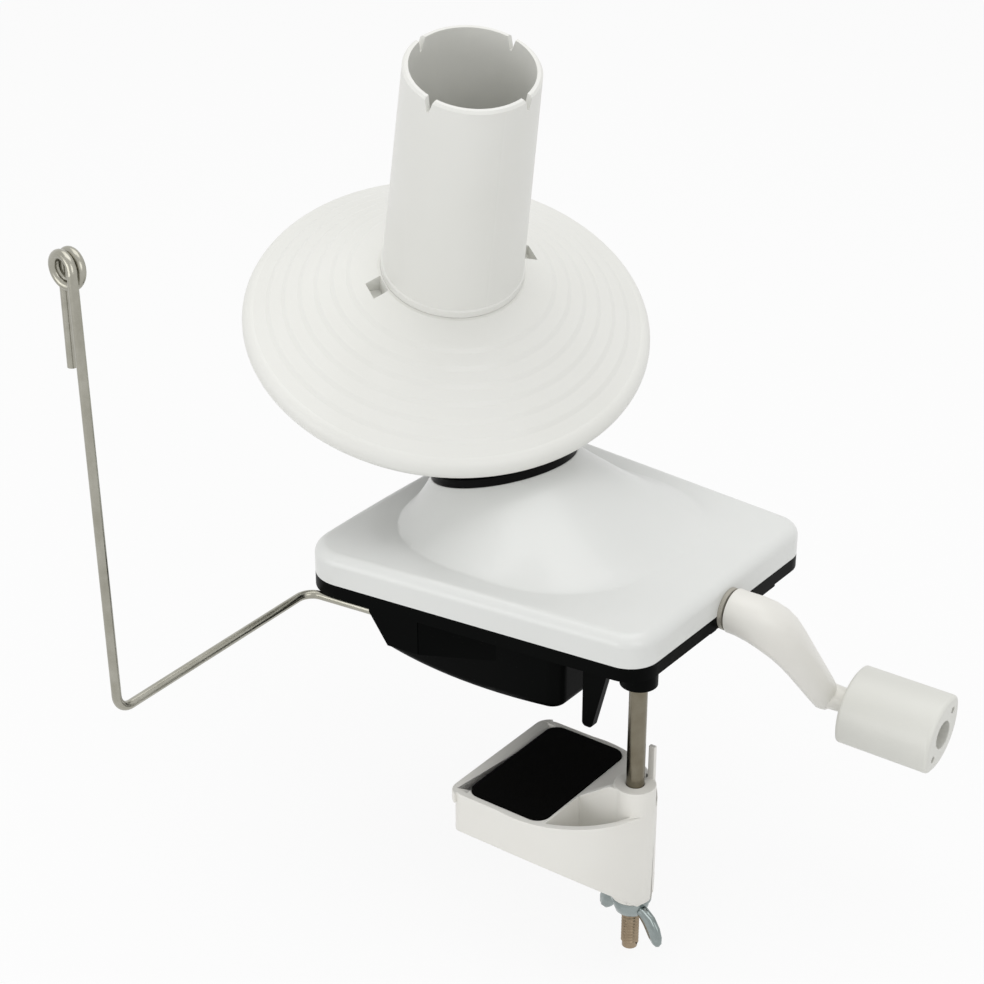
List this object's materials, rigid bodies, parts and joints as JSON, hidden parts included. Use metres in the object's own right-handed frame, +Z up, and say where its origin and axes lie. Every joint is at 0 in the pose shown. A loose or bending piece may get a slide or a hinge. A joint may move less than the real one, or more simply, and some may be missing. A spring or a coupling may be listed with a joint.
{
  "type": "yarn cone winder",
  "caption": "Hand-cranked yarn winder: tilted stepped disc and slotted tube on a geared spindle, white and black housing, side crank with knob, wire yarn guide and screw clamp for a table edge.",
  "frame": {"origin": "middle of the flat seat under the gear box, which rests on the table top", "axes": "+Z up, out of the table; +X toward the crank, away from the table; -Y toward the wire yarn guide"},
  "size_m": [0.2675, 0.2502, 0.3073],
  "materials": {
    "cover_white": "gloss",
    "disc_white": "satin gloss",
    "warm_white": "satin gloss",
    "black_plastic": "satin",
    "gear_plastic": "satin",
    "bearing_plastic": "satin",
    "rubber_pad": "matt",
    "steel": "nickel plated, fine drawn grain",
    "zinc": "bright zinc plate"
  },
  "bodies": {
    "housing": {"base_housing": "black_plastic", "top_cover": "cover_white", "housing_screws": "zinc", "crank_wall_bush": "bearing_plastic", "crank_inner_bush": "bearing_plastic", "rotor_foot_bush": "bearing_plastic", "rotor_bush": "bearing_plastic", "sun_gear": "gear_plastic", "sun_gear_screws": "zinc", "guide_socket": "black_plastic", "guide_socket_screws": "zinc", "clamp_rod": "steel", "rod_washer": "zinc", "rod_nut": "zinc"},
    "crank": {"crank_shaft": "steel", "crank_gear": "gear_plastic", "crank_gear_pin": "steel", "crank_collar": "steel", "crank_arm": "warm_white", "crank_arm_pin": "steel", "knob_pin": "steel"},
    "knob": {"knob": "warm_white"},
    "rotor": {"rotor_shaft": "steel", "rotor_pinion": "gear_plastic", "rotor_arm": "black_plastic", "rotor_arm_pin": "steel", "rotor_washer": "zinc", "spindle_bush": "bearing_plastic"},
    "spindle": {"spindle_shaft": "steel", "planet_gear": "gear_plastic", "spindle_washer": "zinc", "yarn_disc": "disc_white", "spindle_nut": "zinc"},
    "tube": {"winding_tube": "disc_white"},
    "jaw": {"clamp_jaw": "warm_white", "clamp_pad": "rubber_pad", "clamp_washer": "zinc"},
    "wing_nut": {"wing_nut": "zinc"},
    "guide": {"yarn_guide_wire": "steel"}
  },
  "joints": [
    {"name": "crank_spin", "type": "hinge", "parent": "housing", "child": "crank", "pos_m": [0.075, 0, 0.032], "axis": [1, 0, 0], "continuous": true},
    {"name": "knob_spin", "type": "hinge", "parent": "crank", "child": "knob", "pos_m": [0.1045, 0.04097, -0.01546], "axis": [1, 0, 0], "continuous": true},
    {"name": "rotor_spin", "type": "hinge", "parent": "housing", "child": "rotor", "pos_m": [-0.0207, 0, 0.0609], "axis": [-0.2487, 0, 0.9686], "continuous": true},
    {"name": "spindle_spin", "type": "hinge", "parent": "rotor", "child": "spindle", "pos_m": [-0.05497, 0.01135, 0.10437], "axis": [0.305, -0.2653, 0.9146], "continuous": true},
    {"name": "tube_lift", "type": "slide", "parent": "spindle", "child": "tube", "axis": [0.305, -0.2653, 0.9146], "range_m": [0, 0.1]},
    {"name": "jaw_slide", "type": "slide", "parent": "housing", "child": "jaw", "axis": [0, 0, 1], "range_m": [-0.0095, 0.0187]},
    {"name": "wing_nut_spin", "type": "hinge", "parent": "jaw", "child": "wing_nut", "pos_m": [0.067, -0.0435, -0.071], "axis": [0, 0, 1], "range_deg": [-3100, 5940]},
    {"name": "guide_swing", "type": "hinge", "parent": "housing", "child": "guide", "pos_m": [-0.031, -0.06338, 0.0242], "axis": [0.9942, 0.1079, 0], "range_deg": [-20, 90]}
  ],
  "couplings": [
    {"joint": "rotor_spin", "follows": "crank_spin", "ratio": 2.5},
    {"joint": "spindle_spin", "follows": "crank_spin", "ratio": 2.2368},
    {"joint": "wing_nut_spin", "follows": "jaw_slide", "rad_per_m": 4947.4}
  ]
}
